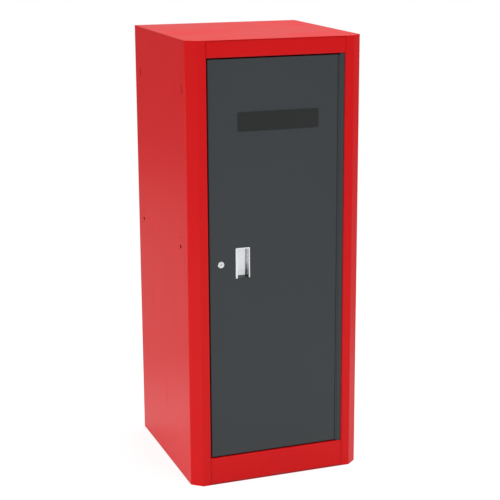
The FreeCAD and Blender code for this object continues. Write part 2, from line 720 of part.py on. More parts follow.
def cup_block(inset, front, back):
    """Block of the cup's outline, from the pocket's floor up."""
    x0, x1, _, z1 = pull_outline(inset)
    return box(x0, x1, front, back, pocket_floor(), z1)


def recess_pull():
    """Cast flush pull: a flange on three sides, and a cup that is open below, where
    the door's tab closes it. The mouth leaves a grip on the free side."""
    x0, x1, z0, z1 = pull_outline(0.0)
    front = DOOR_FACE - PULL_FLANGE
    back = front + PULL_DEPTH
    flange = rounded_panel(x0, x1, front, DOOR_FACE, z0, z1, PULL_FLANGE_CORNER)
    flange = bevelled(flange, front, PULL_FLANGE_EDGE)
    cup = cup_block(PULL_OVERLAP, DOOR_FACE - PULL_FLANGE / 2.0, back)
    hollow = cup_block(PULL_OVERLAP + PULL_WALL, DOOR_FACE, back - PULL_WALL)
    far = [e for e in hollow.Edges if any(v.Y > back - PULL_WALL - TINY for v in e.Vertexes)
           and not all(v.Z < pocket_floor() + TINY for v in e.Vertexes)]
    hollow = hollow.makeFillet(PULL_CORNER, far)
    mouth = box(x0 + PULL_GRIP, x1 - PULL_SIDE, front - PULL_FLANGE, DOOR_FACE + PULL_FLANGE,
                z0 - PULL_FLANGE, z1 - PULL_TOP)
    return fused([flange, cup]).cut([hollow, mouth])


def pull_retainer():
    """Flat frame round the cup and its floor, on the back of the door's face."""
    x0, x1, z0, z1 = pull_outline(-RETAINER_RIM)
    frame = rounded_panel(x0, x1, DOOR_INNER, DOOR_INNER + RETAINER_SHEET, z0, z1,
                          RETAINER_CORNER)
    x0, x1, _, z1 = pull_outline(PULL_OVERLAP - PULL_FIT - RETAINER_FIT)
    low = pocket_floor() - DOOR_OUTER_BEND - RETAINER_FIT
    return frame.cut(box(x0, x1, DOOR_INNER - DOOR_SHEET, DOOR_INNER + 2.0 * RETAINER_SHEET,
                         low, z1))


# -------------------------------------------------------------------- the lock
def lock_point(y):
    """Point on the lock's axis."""
    return (LOCK_CENTRE, y, FITTINGS_HEIGHT)


def lock_housing():
    """Cylinder lock's body with its round head."""
    front = DOOR_FACE - LOCK_HEAD
    head = bevelled(rod(LOCK_HEAD_RADIUS, lock_point(front), (0, 1, 0), LOCK_HEAD), front,
                    LOCK_HEAD_EDGE)
    body = rod(LOCK_BODY_RADIUS, lock_point(DOOR_FACE), (0, 1, 0), LOCK_BODY_END - DOOR_FACE)
    bore = rod(PLUG_RADIUS + PLUG_CLEAR, lock_point(DOOR_FACE - 2.0 * LOCK_HEAD), (0, 1, 0),
               LOCK_BODY_END - DOOR_FACE + 3.0 * LOCK_HEAD)
    return fused([head, body]).cut(bore)


def lock_nut():
    """Hexagon nut that clamps the lock to the door's face."""
    across_corners = NUT_FLATS / math.sqrt(3.0)
    corners = []
    for i in range(7):
        angle = math.radians(60.0 * i)
        corners.append(Vector(LOCK_CENTRE + across_corners * math.cos(angle), DOOR_INNER,
                              FITTINGS_HEIGHT + across_corners * math.sin(angle)))
    nut = Part.Face(Part.makePolygon(corners)).extrude(Vector(0, NUT_THICK, 0))
    bore = rod(LOCK_BODY_RADIUS, lock_point(DOOR_INNER - NUT_THICK), (0, 1, 0), 3.0 * NUT_THICK)
    return nut.cut(bore)


def square_on_lock(side, front, back):
    """Square bar on the lock's axis."""
    half = side / 2.0
    return box(LOCK_CENTRE - half, LOCK_CENTRE + half, front, back, FITTINGS_HEIGHT - half,
               FITTINGS_HEIGHT + half)


def lock_plug():
    """Turning plug with its keyway, square tail and screw hole."""
    barrel = rod(PLUG_RADIUS, lock_point(PLUG_FRONT), (0, 1, 0), LOCK_BODY_END - PLUG_FRONT)
    tail = square_on_lock(CAM_SQUARE, LOCK_BODY_END, CAM_BACK)
    keyway = box(LOCK_CENTRE - KEYWAY_WIDTH / 2.0, LOCK_CENTRE + KEYWAY_WIDTH / 2.0,
                 PLUG_FRONT - KEYWAY_WIDTH, PLUG_FRONT + KEYWAY_DEPTH,
                 FITTINGS_HEIGHT - KEYWAY_LENGTH / 2.0, FITTINGS_HEIGHT + KEYWAY_LENGTH / 2.0)
    keyway.rotate(Vector(*lock_point(0.0)), Vector(0, 1, 0), KEYWAY_TILT)
    return fused([barrel, tail]).cut([keyway, cam_screw_shank()])


def cam_screw_shank():
    """Shank of the screw that holds the cam."""
    start = CAM_BACK - CAM_SCREW_LENGTH
    return rod(CAM_SCREW_RADIUS, lock_point(start), (0, 1, 0), CAM_SCREW_LENGTH)


def cam_screw():
    """Screw and head behind the cam."""
    head = rod(CAM_SCREW_HEAD_RADIUS, lock_point(CAM_BACK), (0, 1, 0), CAM_SCREW_HEAD)
    return fused([head, cam_screw_shank()])


def lock_cam():
    """Latch arm, hanging down when unlocked."""
    half = CAM_WIDTH / 2.0
    boss = rod(half, lock_point(CAM_FRONT), (0, 1, 0), CAM_SHEET)
    tip_z = FITTINGS_HEIGHT - CAM_REACH + half
    tip = rod(half, (LOCK_CENTRE, CAM_FRONT, tip_z), (0, 1, 0), CAM_SHEET)
    arm = box(LOCK_CENTRE - half, LOCK_CENTRE + half, CAM_FRONT, CAM_BACK, tip_z,
              FITTINGS_HEIGHT)
    hole = square_on_lock(CAM_SQUARE + 2.0 * CAM_SQUARE_FIT, CAM_FRONT - CAM_SHEET,
                          CAM_BACK + CAM_SHEET)
    return fused([boss, arm, tip]).cut(hole)


# ---------------------------------------------------------- the magnetic catch
def catch_front():
    """Front of the catch's poles."""
    return DOOR_BACK + STRIKE_SHEET + CATCH_AIR


def catch_case():
    """Plastic case under the head flange, with an ear at each end."""
    front = catch_front() + CATCH_POLE_PROUD
    half = CATCH_WIDTH / 2.0
    case = box(CATCH_CENTRE - half, CATCH_CENTRE + half, front, front + CATCH_DEPTH,
               HEAD - CATCH_HEIGHT, HEAD)
    ears = box(CATCH_CENTRE - half - CATCH_EAR, CATCH_CENTRE + half + CATCH_EAR, front,
               front + CATCH_DEPTH, HEAD - CATCH_EAR_THICK, HEAD)
    return fused([case, ears]).cut(catch_magnets())


def catch_magnets():
    """Magnet between two steel poles, let into the case."""
    front = catch_front()
    half = CATCH_MAGNET_WIDTH / 2.0
    middle = HEAD - CATCH_HEIGHT / 2.0 - CATCH_EAR_THICK / 2.0
    back = front + CATCH_DEPTH - CATCH_POLE_PROUD
    low = middle - CATCH_MAGNET_HEIGHT / 2.0
    high = middle + CATCH_MAGNET_HEIGHT / 2.0
    return [
        box(CATCH_CENTRE - half, CATCH_CENTRE + half, front + CATCH_POLE_PROUD, back, low, high),
        box(CATCH_CENTRE - half, CATCH_CENTRE + half, front, back, low - CATCH_POLE, low),
        box(CATCH_CENTRE - half, CATCH_CENTRE + half, front, back, high, high + CATCH_POLE),
    ]


def catch_screws():
    """Heads of the two screws that hold the ears up to the head flange."""
    y = catch_front() + CATCH_POLE_PROUD + CATCH_DEPTH / 2.0
    under = HEAD - CATCH_EAR_THICK - CATCH_SCREW_HEAD
    reach = (CATCH_WIDTH + CATCH_EAR) / 2.0
    return [rod(CATCH_SCREW_HEAD_RADIUS, (CATCH_CENTRE + side * reach, y, under), (0, 0, 1),
                CATCH_SCREW_HEAD) for side in (-1.0, 1.0)]


def strike_plate():
    """Steel plate on the door's top return."""
    half = STRIKE_WIDTH / 2.0
    top = DOOR_TOP - STRIKE_DROP
    return box(CATCH_CENTRE - half, CATCH_CENTRE + half, DOOR_BACK, DOOR_BACK + STRIKE_SHEET,
               top - STRIKE_HEIGHT, top)


# ------------------------------------------------------------------ the whole
def pieces():
    """Every piece by its name. A list is a group of separate like pieces."""
    side = side_panel()
    front_standard = shelf_standard(FRONT_STANDARD_Y)
    rear_standard = shelf_standard(REAR_STANDARD_Y)
    return {
        "side_panel_left": side,
        "side_panel_right": mirrored(side),
        "back_panel": back_panel(),
        "top_panel": top_panel(),
        "top_rail": top_rail(),
        "bottom_rail": bottom_rail(),
        "floor_pan": floor_pan(),
        "floor_stiffener": floor_stiffener(),
        "shelf_standard_front_left": front_standard,
        "shelf_standard_front_right": mirrored(front_standard),
        "shelf_standard_rear_left": rear_standard,
        "shelf_standard_rear_right": mirrored(rear_standard),
        "shelf_lower": shelf(LOWER_SLOT_COUNT),
        "shelf_upper": shelf(UPPER_SLOT_COUNT),
        "shelf_clips_lower": shelf_clips(LOWER_SLOT_COUNT),
        "shelf_clips_upper": shelf_clips(UPPER_SLOT_COUNT),
        "hinge_stile": hinge_stile(),
        "hinge_leaf_frame": hinge_leaf_frame(),
        "hinge_leaf_door": hinge_leaf(1),
        "hinge_pin": hinge_pin(),
        "door_skin": door_skin(),
        "door_stiffener": door_stiffener(),
        "door_bumpers": door_bumpers(),
        "badge_plate": badge_plate(),
        "recess_pull": recess_pull(),
        "pull_retainer": pull_retainer(),
        "lock_housing": lock_housing(),
        "lock_nut": lock_nut(),
        "lock_plug": lock_plug(),
        "lock_cam": lock_cam(),
        "cam_screw": cam_screw(),
        "catch_case": catch_case(),
        "catch_magnets": catch_magnets(),
        "catch_screws": catch_screws(),
        "strike_plate": strike_plate(),
    }


def export(name, piece):
    """Writes one piece, or one group of pieces, as a STEP file."""
    shape = Part.makeCompound(piece) if isinstance(piece, list) else piece
    shape.exportStep("parts/" + name + ".step")


os.makedirs("parts", exist_ok=True)
for piece_name, piece_shape in pieces().items():
    export(piece_name, piece_shape)
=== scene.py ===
"""Looks of the tool chest side locker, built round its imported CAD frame.

All sizes are metres in the frame of the part: +X to the right as the door is
faced, +Y from the door to the back, +Z up, origin on the floor at the centre of
the footprint. Places are taken from the frame's own nodes wherever one is near.
"""

from __future__ import annotations

import json
import logging
import math
from dataclasses import dataclass
from enum import Enum
from typing import Any, Iterable, Sequence

import bmesh
import bpy
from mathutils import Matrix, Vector

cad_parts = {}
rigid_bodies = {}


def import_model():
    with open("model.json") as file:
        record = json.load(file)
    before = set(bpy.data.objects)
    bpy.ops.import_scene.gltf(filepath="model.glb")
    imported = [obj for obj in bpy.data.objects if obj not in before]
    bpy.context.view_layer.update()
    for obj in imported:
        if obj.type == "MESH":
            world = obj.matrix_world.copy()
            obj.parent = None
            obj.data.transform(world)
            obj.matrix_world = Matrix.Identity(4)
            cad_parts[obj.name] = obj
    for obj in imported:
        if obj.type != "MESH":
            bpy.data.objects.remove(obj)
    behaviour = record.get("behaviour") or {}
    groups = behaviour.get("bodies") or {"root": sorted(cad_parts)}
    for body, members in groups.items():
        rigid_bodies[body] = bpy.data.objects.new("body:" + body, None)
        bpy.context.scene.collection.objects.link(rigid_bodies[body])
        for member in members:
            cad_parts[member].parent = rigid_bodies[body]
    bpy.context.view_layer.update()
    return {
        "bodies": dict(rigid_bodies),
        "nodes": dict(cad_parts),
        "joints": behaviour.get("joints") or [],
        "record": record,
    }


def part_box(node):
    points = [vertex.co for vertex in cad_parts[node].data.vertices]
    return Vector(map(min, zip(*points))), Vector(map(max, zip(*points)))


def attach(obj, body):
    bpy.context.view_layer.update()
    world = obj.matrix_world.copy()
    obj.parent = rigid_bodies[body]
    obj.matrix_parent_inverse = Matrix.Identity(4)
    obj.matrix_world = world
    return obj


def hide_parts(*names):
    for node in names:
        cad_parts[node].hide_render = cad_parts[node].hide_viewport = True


LOG = logging.getLogger("locker")
MM = 0.001
SHEET = 1.2 * MM                 # steel of the shell and of the door
WELD_COLUMN = 206.0 * MM         # from the middle to the welds down the back
WELD_PITCH = 82.0 * MM
LOCK_CENTRE = (-0.1389, 0.5462)  # x and z of the lock's axis
MERGE = 2e-6                     # points nearer than this are one
SLACK = 1e-6                     # how far a point may be off its line
FLAT = math.radians(0.2)         # faces that bend less than this are one flat
SHARP = math.radians(28.0)       # edges that bend more than this get a rounding
BLACK = (0.0, 0.0, 0.0, 1.0)
WHITE = (1.0, 1.0, 1.0, 1.0)

# Turns of what a tree makes facing up.
FACING_FRONT = (math.radians(90.0), 0.0, 0.0)
FACING_BACK = (math.radians(-90.0), 0.0, 0.0)
FACING_DOWN = (math.radians(180.0), 0.0, 0.0)
FACING_LEFT = (0.0, math.radians(-90.0), 0.0)
FACING_RIGHT = (0.0, math.radians(90.0), 0.0)


# ------------------------------------------------------------------ small tools
def linear(*srgb: int) -> tuple[float, float, float, float]:
    """Colour for a shader from screen values of 0 to 255.

    Args:
        srgb: red, green and blue.

    Returns:
        The linear colour with an alpha of 1.
    """
    channels = []
    for level in srgb:
        c = level / 255.0
        channels.append(c / 12.92 if c <= 0.04045 else ((c + 0.055) / 1.055) ** 2.4)
    return (channels[0], channels[1], channels[2], 1.0)


class Value:
    """A number socket that writes its Math nodes from Python's operators."""

    def __init__(self, graph: Graph, socket: Any) -> None:
        """Wraps one output socket of a graph."""
        self.graph = graph
        self.socket = socket

    def _math(self, operation: str, *terms: Any) -> Value:
        """Adds one Math node.

        Args:
            operation: the node's operation.
            terms: its inputs, as values or numbers.

        Returns:
            The node's result.
        """
        inputs = {i: term for i, term in enumerate(terms)}
        node = self.graph.add("ShaderNodeMath", {"operation": operation}, inputs)
        return Value(self.graph, node.outputs[0])

    def __add__(self, other: Any) -> Value:
        """Sum."""
        return self._math("ADD", self, other)

    __radd__ = __add__

    def __sub__(self, other: Any) -> Value:
        """Difference."""
        return self._math("SUBTRACT", self, other)

    def __rsub__(self, other: Any) -> Value:
        """Difference from a number."""
        return self._math("SUBTRACT", other, self)

    def __mul__(self, other: Any) -> Value:
        """Product."""
        return self._math("MULTIPLY", self, other)

    __rmul__ = __mul__

    def __pow__(self, other: Any) -> Value:
        """Power."""
        return self._math("POWER", self, other)

    def __abs__(self) -> Value:
        """Distance from zero."""
        return self._math("ABSOLUTE", self)

    def least(self, other: Any) -> Value:
        """The smaller of two."""
        return self._math("MINIMUM", self, other)

    def most(self, other: Any) -> Value:
        """The larger of two."""
        return self._math("MAXIMUM", self, other)

    def wrapped(self, pitch: float) -> Value:
        """Distance to the nearest multiple of a pitch."""
        return abs(self._math("WRAP", self, pitch / 2.0, -pitch / 2.0))

    def ramp(self, start: float, end: float) -> Value:
        """Smooth step from 0 at start to 1 at end.

        Args:
            start: where the step begins.
            end: where it ends; it may be below start.

        Returns:
            The step's value.
        """
        settings = {"interpolation_type": "SMOOTHSTEP"}
        inputs = {"Value": self, "From Min": start, "From Max": end}
        if end < start:
            inputs.update({"From Min": end, "From Max": start, "To Min": 1.0, "To Max": 0.0})
        node = self.graph.add("ShaderNodeMapRange", settings, inputs)
        return Value(self.graph, node.outputs[0])


class Graph:
    """The node tree of one material, or of the world."""

    def __init__(self, tree: bpy.types.NodeTree) -> None:
        """Starts from an empty tree."""
        self.tree = tree
        tree.nodes.clear()

    def add(self, kind: str, settings: dict[str, Any] | None = None,
            inputs: dict[Any, Any] | None = None) -> bpy.types.Node:
        """Adds any node.

        Args:
            kind: the node's type name.
            settings: its properties, set before its sockets.
            inputs: socket name or index to a number, colour, Value or socket.

        Returns:
            The node.
        """
        node = self.tree.nodes.new(kind)
        for name, setting in (settings or {}).items():
            setattr(node, name, setting)
        for key, term in (inputs or {}).items():
            if isinstance(term, Value):
                term = term.socket
            if isinstance(term, bpy.types.NodeSocket):
                self.tree.links.new(term, node.inputs[key])
            else:
                node.inputs[key].default_value = term
        return node

    def place(self) -> tuple[Any, Value, Value, Value]:
        """Position on the piece, in the part's frame.

        Returns:
            The Object coordinates, and their x, y and z.
        """
        point = self.add("ShaderNodeTexCoord").outputs["Object"]
        split = self.add("ShaderNodeSeparateXYZ", None, {0: point})
        return (point, *(Value(self, out) for out in split.outputs))

    def facing(self) -> tuple[Value, Value, Value]:
        """Direction that the surface faces.

        Returns:
            Its x, y and z.
        """
        normal = self.add("ShaderNodeNewGeometry").outputs["Normal"]
        split = self.add("ShaderNodeSeparateXYZ", None, {0: normal})
        x, y, z = (Value(self, out) for out in split.outputs)
        return x, y, z

    def noise(self, point: Any, scale: float, detail: float = 2.0,
              stretch: Sequence[float] = (1.0, 1.0, 1.0)) -> Value:
        """Noise of 0 to 1.

        Args:
            point: coordinates to read.
            scale: cells per metre.
            detail: how many finer layers it has.
            stretch: scale of each axis, for drawn or brushed marks.

        Returns:
            The noise.
        """
        at = self.add("ShaderNodeMapping", None, {"Vector": point, "Scale": stretch})
        node = self.add("ShaderNodeTexNoise", None,
                        {"Vector": at.outputs[0], "Scale": scale, "Detail": detail})
        return Value(self, node.outputs[0])

    def blend(self, amount: Value, first: Any, second: Any) -> Any:
        """Mixes two colours.

        Args:
            amount: share of the second.
            first: colour or colour socket.
            second: colour or colour socket.

        Returns:
            The mixed colour's socket.
        """
        node = self.add("ShaderNodeMix", {"data_type": "RGBA"}, {0: amount, 6: first, 7: second})
        return node.outputs[2]

    def mixed(self, amount: Value, first: Any, second: Any) -> Any:
        """Mixes two shaders.

        Args:
            amount: share of the second.
            first: node of the first.
            second: node of the second.

        Returns:
            The mixed shader's node.
        """
        return self.add("ShaderNodeMixShader", None,
                        {0: amount, 1: first.outputs[0], 2: second.outputs[0]})

    def grey(self, tone: Value) -> Any:
        """Colour of one tone in all its channels."""
        return self.add("ShaderNodeCombineColor", None, {0: tone, 1: tone, 2: tone}).outputs[0]

    def bump(self, height: Value, strength: float, distance: float, base: Any = None) -> Any:
        """Bump from a height of 0 to 1.

        Args:
            height: the height.
            strength: share of the effect.
            distance: metres that a height of 1 stands for.
            base: socket with the normal it stands on, if that isn't the mesh's own.

        Returns:
            The normal's socket.
        """
        inputs = {"Strength": strength, "Distance": distance, "Height": height}
        if base is not None:
            inputs["Normal"] = base
        return self.add("ShaderNodeBump", None, inputs).outputs[0]

    def surface(self, **sockets: Any) -> None:
        """Ends a material in one Principled shader.

        Args:
            sockets: its inputs, with an underscore for each space.
        """
        inputs = {name.replace("_", " "): term for name, term in sockets.items()}
        shader = self.add("ShaderNodeBsdfPrincipled", None, inputs)
        self.add("ShaderNodeOutputMaterial", None, {0: shader.outputs[0]})


# --------------------------------------------------------------------- finishes
class Finish:
    """A material that is made once, when it is first asked for."""

    name: str
    slot: str

    def material(self) -> bpy.types.Material:
        """The finish in Blender.

        Returns:
            The material.
        """
        found = bpy.data.materials.get(self.name)
        if found:
            return found
        made = bpy.data.materials.new(self.name)
        made.use_nodes = True
        self.paint(Graph(made.node_tree))
        return made

    def paint(self, graph: Graph) -> None:
        """Writes the finish into an empty graph."""
        raise NotImplementedError


@dataclass(frozen=True)
class PowderCoat(Finish):
    """Powder coat with orange peel, faint dust on what faces up, and rubbed spots.

    Weld dents stand in columns on the back, where the flanges are welded down. The scales
    are in cells per metre. The dent's ranges run inwards to its centre, in metres.
    """

    name: str
    slot: str
    colour: tuple[int, int, int]
    dull: tuple[int, int, int]
    roughness: float = 0.30
    gloss: float = 0.13
    cloud_scale: float = 7.0
    rub_scale: float = 26.0
    scuff_scale: float = 60.0
    orange_scale: float = 420.0
    grain_scale: float = 1900.0
    relief: float = 0.35
    peel: float = 0.00018
    weld_column: float = 0.0
    weld_pitch: float = WELD_PITCH
    dent: tuple[float, float] = (3.4 * MM, 2.2 * MM)
    dent_rim: tuple[float, float] = (4.4 * MM, 3.4 * MM)
    foot_scuff: float = 0.0
    scuffed: tuple[int, int, int] = (120, 74, 70)

    def paint(self, graph: Graph) -> None:
        """Writes the coat.

        Args:
            graph: the material's empty graph.
        """
        point, x, _, z = graph.place()
        _, facing_back, facing_up = graph.facing()
        cloud = graph.noise(point, self.cloud_scale, 3.0)
        grain = graph.noise(point, self.grain_scale, 1.0)
        orange = graph.noise(point, self.orange_scale, 2.0)
        dust = facing_up.ramp(0.6, 1.0) * cloud.ramp(0.30, 0.75)
        smear = graph.noise(point, self.rub_scale, 4.0, (1.0, 1.0, 0.35)).ramp(0.60, 0.85)
        shade = (cloud - 0.5) * 0.5 + dust * 0.25 + 0.2
        colour = graph.blend(shade.most(0.0), linear(*self.colour), linear(*self.dull))
        rough = self.roughness + dust * 0.14 + smear * 0.07 + (grain - 0.5) * 0.05
        if self.foot_scuff:
            marks = graph.noise(point, self.scuff_scale, 5.0, (0.25, 0.25, 1.6))
            foot = z.ramp(self.foot_scuff, 0.0) * marks.ramp(0.60, 0.78)
            colour = graph.blend(foot * 0.35, colour, linear(*self.scuffed))
            rough = rough + foot * 0.25
        height = orange * 0.8 + grain * 0.2
        if self.weld_column:
            across = abs(abs(x) - self.weld_column)
            reach = (across * across + z.wrapped(self.weld_pitch) ** 2.0) ** 0.5
            behind = facing_back.ramp(0.8, 0.95)
            dent = reach.ramp(*self.dent) * behind
            ring = reach.ramp(*self.dent_rim) * behind - dent
            height = height - dent * 1.6 + ring * 0.5
        graph.surface(Base_Color=colour, Roughness=rough, Specular_IOR_Level=self.gloss,
                      Normal=graph.bump(height, self.relief, self.peel))


class Lay(Enum):
    """Kind of marks in a bare metal, and how fine they are in cells per metre."""

    CAST = 260.0
    TURNED = 9000.0
    ROLLED = 900.0


@dataclass(frozen=True)
class Pocket:
    """Shading inside a cup, on flat walls.

    It turns the back wall's direction as if the wall leaned out over its foot and along
    its right side, and it darkens the right wall towards the foot with painted shade. Each
    range runs from where a change begins to where it is full: back in y, side and right in
    x, foot and the painted shade's rise in z. The two that say faces are ranges of the
    direction that a wall faces.
    """

    back: tuple[float, float]
    foot: tuple[float, float]
    side: tuple[float, float]
    right: tuple[float, float]
    painted_shade_rise: tuple[float, float]
    faces_front: tuple[float, float] = (-0.90, -0.99)
    faces_left: tuple[float, float] = (-0.35, -0.75)
    lean_foot: float = 0.36
    lean_side: float = 0.18
    painted_shade_depth: float = 0.75

    def normal(self, graph: Graph, x: Value, y: Value, z: Value) -> Any:
        """Direction that the leaning back wall faces.

        Args:
            graph: the finish's graph.
            x: the point's x.
            y: its y.
            z: its z.

        Returns:
            The normal's socket.
        """
        _, facing_back, _ = graph.facing()
        here = y.ramp(*self.back) * facing_back.ramp(*self.faces_front)
        push = graph.add("ShaderNodeCombineXYZ", None,
                         {0: x.ramp(*self.side) * here * -self.lean_side,
                          2: z.ramp(*self.foot) * here * self.lean_foot})
        normal = graph.add("ShaderNodeNewGeometry").outputs["Normal"]
        leaning = graph.add("ShaderNodeVectorMath", {"operation": "ADD"},
                            {0: normal, 1: push.outputs[0]})
        return graph.add("ShaderNodeVectorMath", {"operation": "NORMALIZE"},
                         {0: leaning.outputs[0]}).outputs[0]

    def with_painted_shade(self, graph: Graph, colour: Any, x: Value, z: Value) -> Any:
        """Colour with painted shade on the right wall, darker towards the foot.

        Args:
            graph: the finish's graph.
            colour: the plate's colour.
            x: the point's x.
            z: its z.

        Returns:
            The colour's socket.
        """
        facing_right, _, _ = graph.facing()
        here = x.ramp(*self.right) * facing_right.ramp(*self.faces_left)
        # painted shade: the right wall blends towards black, most near the foot
        return graph.blend(z.ramp(*self.painted_shade_rise) * here * self.painted_shade_depth, colour, BLACK)


@dataclass(frozen=True)
class PlatedMetal(Finish):
    """Chrome or zinc plate over a cast, turned or rolled piece."""

    name: str
    slot: str
    colour: tuple[int, int, int]
    tarnish: tuple[int, int, int]
    roughness: float
    lay: Lay
    centre: tuple[float, float] = (0.0, 0.0)
    metal: float = 1.0
    cloud_scale: float = 34.0
    fleck_scale: float = 1500.0
    relief: float = 0.12
    relief_depth: float = 0.00012
    pocket: Pocket | None = None

    def paint(self, graph: Graph) -> None:
        """Writes the plate.

        Args:
            graph: the material's empty graph.
        """
        point, x, y, z = graph.place()
        cloud = graph.noise(point, self.cloud_scale, 4.0)
        fleck = graph.noise(point, self.fleck_scale, 2.0)
        if self.lay is Lay.TURNED:
            out = ((x - self.centre[0]) ** 2.0 + (z - self.centre[1]) ** 2.0) ** 0.5
            line = graph.add("ShaderNodeTexNoise", {"noise_dimensions": "1D"},
                             {"W": out, "Scale": self.lay.value, "Detail": 2.0})
            marks = Value(graph, line.outputs[0])
        else:
            stretch = (1.0, 1.0, 0.04 if self.lay is Lay.ROLLED else 1.0)
            marks = graph.noise(point, self.lay.value, 3.0, stretch)
        colour = graph.blend(cloud.ramp(0.35, 0.8) * 0.7, linear(*self.colour),
                             linear(*self.tarnish))
        rough = self.roughness + (cloud - 0.5) * 0.10 + (fleck - 0.5) * 0.05
        base = None
        # in a cup, the back wall's normal leans and the right wall gets painted shade
        if self.pocket:
            base = self.pocket.normal(graph, x, y, z)
            colour = self.pocket.with_painted_shade(graph, colour, x, z)
        graph.surface(Base_Color=colour, Roughness=rough, Metallic=self.metal,
                      Normal=graph.bump(marks, self.relief, self.relief_depth, base))


@dataclass(frozen=True)
class Moulded(Finish):
    """Rubber or plastic with a fine spark-eroded grain."""

    name: str
    slot: str
    colour: tuple[int, int, int]
    worn: tuple[int, int, int]
    roughness: float = 0.62
    grain_scale: float = 2600.0
    cloud_scale: float = 60.0
    gloss: float = 0.35
    relief: float = 0.3
    relief_depth: float = 0.00015

    def paint(self, graph: Graph) -> None:
        """Writes the moulding.

        Args:
            graph: the material's empty graph.
        """
        point, _, _, _ = graph.place()
        cloud = graph.noise(point, self.cloud_scale, 4.0)
        grain = graph.noise(point, self.grain_scale, 2.0)
        colour = graph.blend(cloud.ramp(0.4, 0.8) * 0.5, linear(*self.colour),
                             linear(*self.worn))
        rough = self.roughness + (cloud - 0.5) * 0.16
        graph.surface(Base_Color=colour, Roughness=rough, Specular_IOR_Level=self.gloss,
                      Normal=graph.bump(grain, self.relief, self.relief_depth))


RED = PowderCoat("red_powder_coat", "red_paint", (204, 17, 20), (195, 20, 24),
                 weld_column=WELD_COLUMN, foot_scuff=0.05)
# dark red of a thin coat on a sheared edge, and painted shade along it
SHEARED_COAT_AND_SHADE = PowderCoat("sheared_edge_coat_and_painted_shade", "red_paint", (112, 10, 14), (104, 12, 16),
                     roughness=0.5, gloss=0.05)
GREY = PowderCoat("grey_powder_coat", "grey_paint", (61, 65, 67), (57, 61, 63),
                  roughness=0.38)
BADGE = PowderCoat("charcoal_badge_coat", "badge_grey", (45, 47, 47), (40, 42, 43),
                   roughness=0.42, peel=0.00008)
LOCK_CHROME = PlatedMetal("turned_bright_chrome", "bright_chrome", (226, 228, 229),
                          (208, 210, 212), 0.20, Lay.TURNED, LOCK_CENTRE)
ZINC = PlatedMetal("rolled_zinc_plate", "zinc_plate", (190, 192, 193), (158, 160, 160), 0.36,
                   Lay.ROLLED)
RUBBER = Moulded("bumper_rubber", "rubber", (28, 28, 29), (44, 44, 45), 0.74, 1400.0)
PLASTIC = Moulded("catch_moulding", "black_plastic", (29, 29, 31), (40, 40, 42))


# ----------------------------------------------------------------------- meshes
def placed(name: str, data: Any) -> bpy.types.Object:
    """Adds an object to the scene.

    Args:
        name: the object's name.
        data: its mesh, lamp or camera.

    Returns:
        The object.
    """
    made = bpy.data.objects.new(name, data)
    bpy.context.scene.collection.objects.link(made)
    return made


def as_mesh(build: bmesh.types.BMesh, name: str) -> bpy.types.Mesh:
    """Ends a mesh that is being built.

    Args:
        build: what was built.
        name: the mesh's name.

    Returns:
        The mesh.
    """
    mesh = bpy.data.meshes.new(name)
    build.to_mesh(mesh)
    build.free()
    return mesh


def applied(host: bpy.types.Object) -> bpy.types.Mesh:
    """Turns a helper object and its modifiers into one plain mesh.

    Args:
        host: the helper, which is removed.

    Returns:
        The mesh.
    """
    ready = host.evaluated_get(bpy.context.evaluated_depsgraph_get())
    mesh = bpy.data.meshes.new_from_object(ready)
    host.modifiers.clear()
    bpy.data.objects.remove(host)
    return mesh


def finished(name: str, mesh: bpy.types.Mesh, finish: Finish, body: str) -> bpy.types.Object:
    """Puts a mesh that is already in place on a body.

    Args:
        name: the piece's name.
        mesh: its mesh, in the part's frame.
        finish: what covers it.
        body: the body it moves with.

    Returns:
        The piece.
    """
    mesh.materials.clear()
    mesh.materials.append(finish.material())
    piece = placed(name, mesh)
    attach(piece, body)
    LOG.info("%s: %d faces on %s", name, len(mesh.polygons), body)
    return piece


def dress(frame: dict[str, Any], finish: Finish, nodes: Iterable[str]) -> None:
    """Gives a finish to nodes of the frame.

    Args:
        finish: what covers them.
        nodes: their names.
    """
    for name in nodes:
        mesh = frame["nodes"][name].data
        mesh.materials.clear()
        mesh.materials.append(finish.material())
        LOG.info("%s: %s", name, finish.name)


def keep_flats(mesh: bpy.types.Mesh) -> None:
    """Shades a mesh so that its flats stay flat up to the roundings between them.

    Args:
        mesh: the mesh, with its roundings in the second material slot.
    """
    flat = [Vector() for _ in mesh.vertices]
    rounded = [Vector() for _ in mesh.vertices]
    for face in mesh.polygons:
        sums = rounded if face.material_index else flat
        for corner in face.vertices:
            sums[corner] += face.normal * face.area
    mesh.polygons.foreach_set("material_index", [0] * len(mesh.polygons))
    mesh.normals_split_custom_set_from_vertices(
        [(a if a.length > 0.0 else b).normalized() for a, b in zip(flat, rounded)])


def eased(frame: dict[str, Any], node: str, finish: Finish, body: str, edge: float,
          steps: int = 3) -> bpy.types.Object:
    """Replaces a node by a copy with rounded edges.

    Args:
        node: the node's name.
        finish: what covers it.
        body: the body it moves with.
        edge: radius of the rounding.
        steps: faces across each rounding.

    Returns:
        The piece.
    """
    build = bmesh.new()
    build.from_mesh(frame["nodes"][node].data)
    bmesh.ops.remove_doubles(build, verts=build.verts, dist=MERGE)
    bmesh.ops.dissolve_degenerate(build, edges=build.edges, dist=MERGE)
    bmesh.ops.dissolve_limit(build, angle_limit=FLAT, verts=build.verts, edges=build.edges)
    wide = [face for face in build.faces if len(face.verts) > 4]
    bmesh.ops.triangulate(build, faces=wide)
    bmesh.ops.recalc_face_normals(build, faces=build.faces)
    for face in build.faces:
        face.smooth = True
    plain = as_mesh(build, node + "_plain")
    plain.materials.append(None)
    plain.materials.append(None)
    host = placed("host", plain)
    bevel = host.modifiers.new("ease", "BEVEL")
    bevel.width = edge
    bevel.segments = steps
    bevel.limit_method = "ANGLE"
    bevel.angle_limit = SHARP
    bevel.material = 1
    mesh = applied(host)
    keep_flats(mesh)
    piece = finished(node + "_eased", mesh, finish, body)
    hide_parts(node)
    return piece


